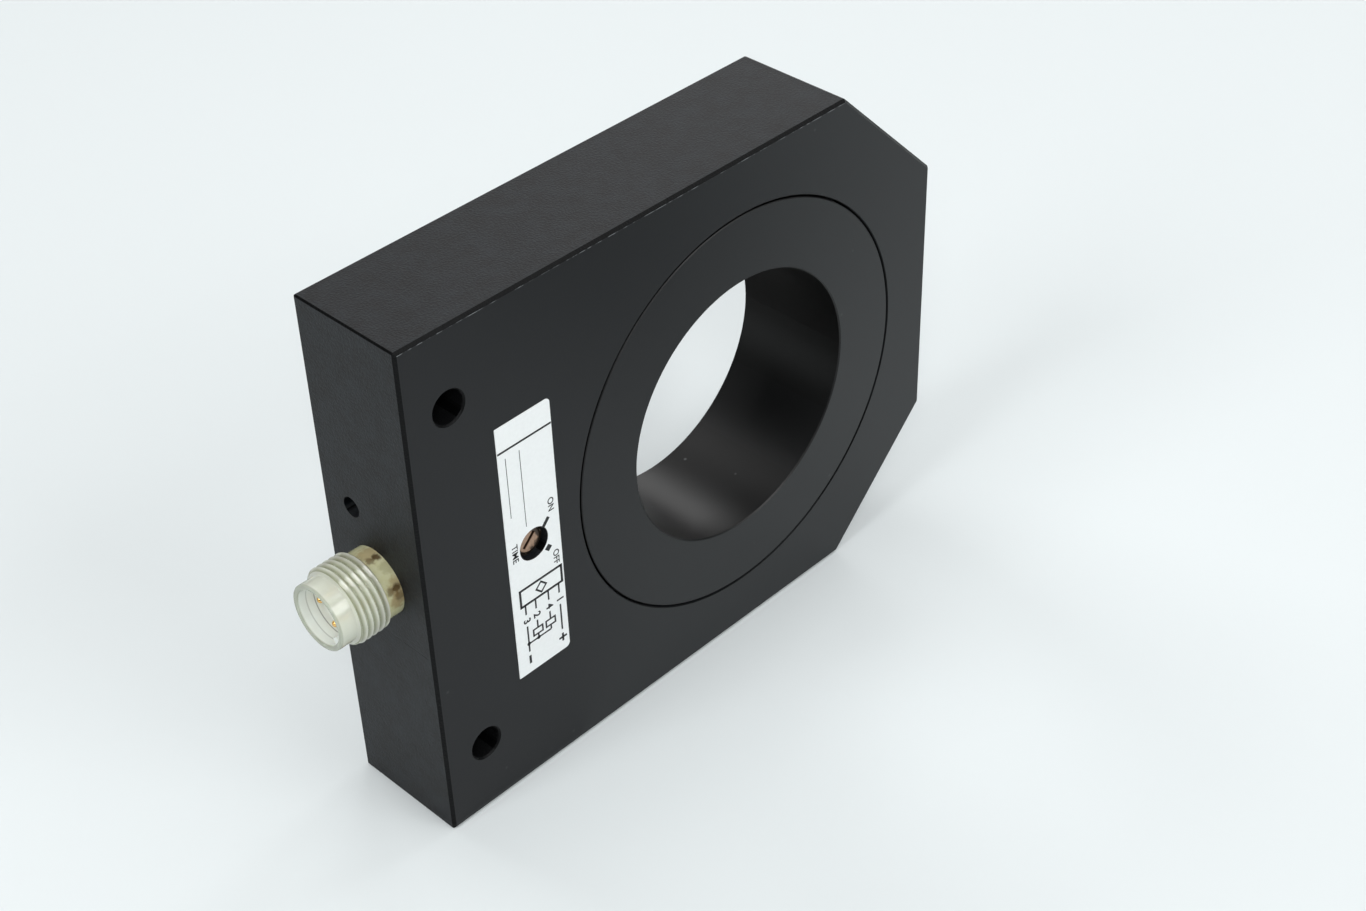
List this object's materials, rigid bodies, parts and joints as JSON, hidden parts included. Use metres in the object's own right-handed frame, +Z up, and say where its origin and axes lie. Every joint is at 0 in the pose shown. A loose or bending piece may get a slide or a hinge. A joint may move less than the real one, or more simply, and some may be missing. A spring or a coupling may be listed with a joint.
{
  "type": "inductive ring sensor",
  "caption": "Flat black block with two cut corners, a large lined bore that senses metal passing through it, mounting holes, a label with a trimmer and a clear threaded plug.",
  "frame": {"origin": "on the axis of the sensing bore, midway between the front and back faces of the block", "axes": "+X along the length away from the plug, +Y through the thickness from the label face to the back face, +Z up with the part standing on its long edge"},
  "size_m": [0.1146, 0.0201, 0.0844],
  "materials": {
    "housing_plastic": "black, fine-grained on the sawn edges and smooth on the front",
    "ring_plastic": "black, smooth turned plastic",
    "label_film": "white satin film with black print",
    "winding_copper": "enamelled copper wire",
    "coil_tape": "yellow film tape",
    "board_laminate": "green lacquered glass laminate",
    "package_plastic": "black moulding compound",
    "capacitor_yellow": "yellow moulding compound",
    "capacitor_red": "red moulded box",
    "can_aluminium": "bright can",
    "resistor_ceramic": "glazed ceramic",
    "trimmer_black": "glossy black",
    "rotor_tan": "tan brown moulding",
    "spring_bronze": "spring bronze",
    "track_ceramic": "white ceramic with a dark resistance track",
    "tinned_metal": "tinned",
    "pin_gold": "gold plated",
    "plug_clear": "clear, slightly yellow and milky",
    "lamp_lens": "clear lens",
    "wire_brown": "brown insulation",
    "wire_white": "white insulation",
    "wire_blue": "blue insulation",
    "wire_black": "black insulation"
  },
  "bodies": {
    "block": {"circuit_board": "board_laminate", "coil_former": "ring_plastic", "coil_lead_1": "winding_copper", "coil_lead_2": "winding_copper", "coil_tape": "coil_tape", "coil_winding": "winding_copper", "contact_pin_1": "pin_gold", "contact_pin_2": "pin_gold", "contact_pin_3": "pin_gold", "contact_pin_4": "pin_gold", "delay_capacitor": "capacitor_yellow", "delay_chip": "package_plastic", "housing": "housing_plastic", "label": "label_film", "lamp_1": "lamp_lens", "lamp_1_leg_1": "tinned_metal", "lamp_1_leg_2": "tinned_metal", "lamp_2": "lamp_lens", "lamp_2_leg_1": "tinned_metal", "lamp_2_leg_2": "tinned_metal", "lead_wire_1": "wire_brown", "lead_wire_2": "wire_white", "lead_wire_3": "wire_blue", "lead_wire_4": "wire_black", "oscillator_chip": "package_plastic", "output_transistor_1": "package_plastic", "output_transistor_2": "package_plastic", "plug_body": "plug_clear", "polarity_diode": "package_plastic", "rear_cover": "housing_plastic", "resistor_1": "resistor_ceramic", "resistor_2": "resistor_ceramic", "resistor_3": "resistor_ceramic", "resistor_4": "resistor_ceramic", "resistor_5": "resistor_ceramic", "resistor_6": "resistor_ceramic", "resonance_capacitor": "capacitor_red", "supply_capacitor": "can_aluminium", "surge_diode": "package_plastic", "trimmer_case": "trimmer_black", "trimmer_lead_1": "tinned_metal", "trimmer_lead_2": "tinned_metal", "trimmer_lead_3": "tinned_metal", "trimmer_track": "track_ceramic", "voltage_regulator": "package_plastic"},
    "rotor": {"trimmer_rotor": "rotor_tan", "trimmer_wiper": "spring_bronze"}
  },
  "joints": [
    {"name": "trimmer_turn", "type": "hinge", "parent": "block", "child": "rotor", "pos_m": [-0.0423, -0.009, 0], "axis": [0, -1, 0], "range_deg": [0, 270]}
  ]
}
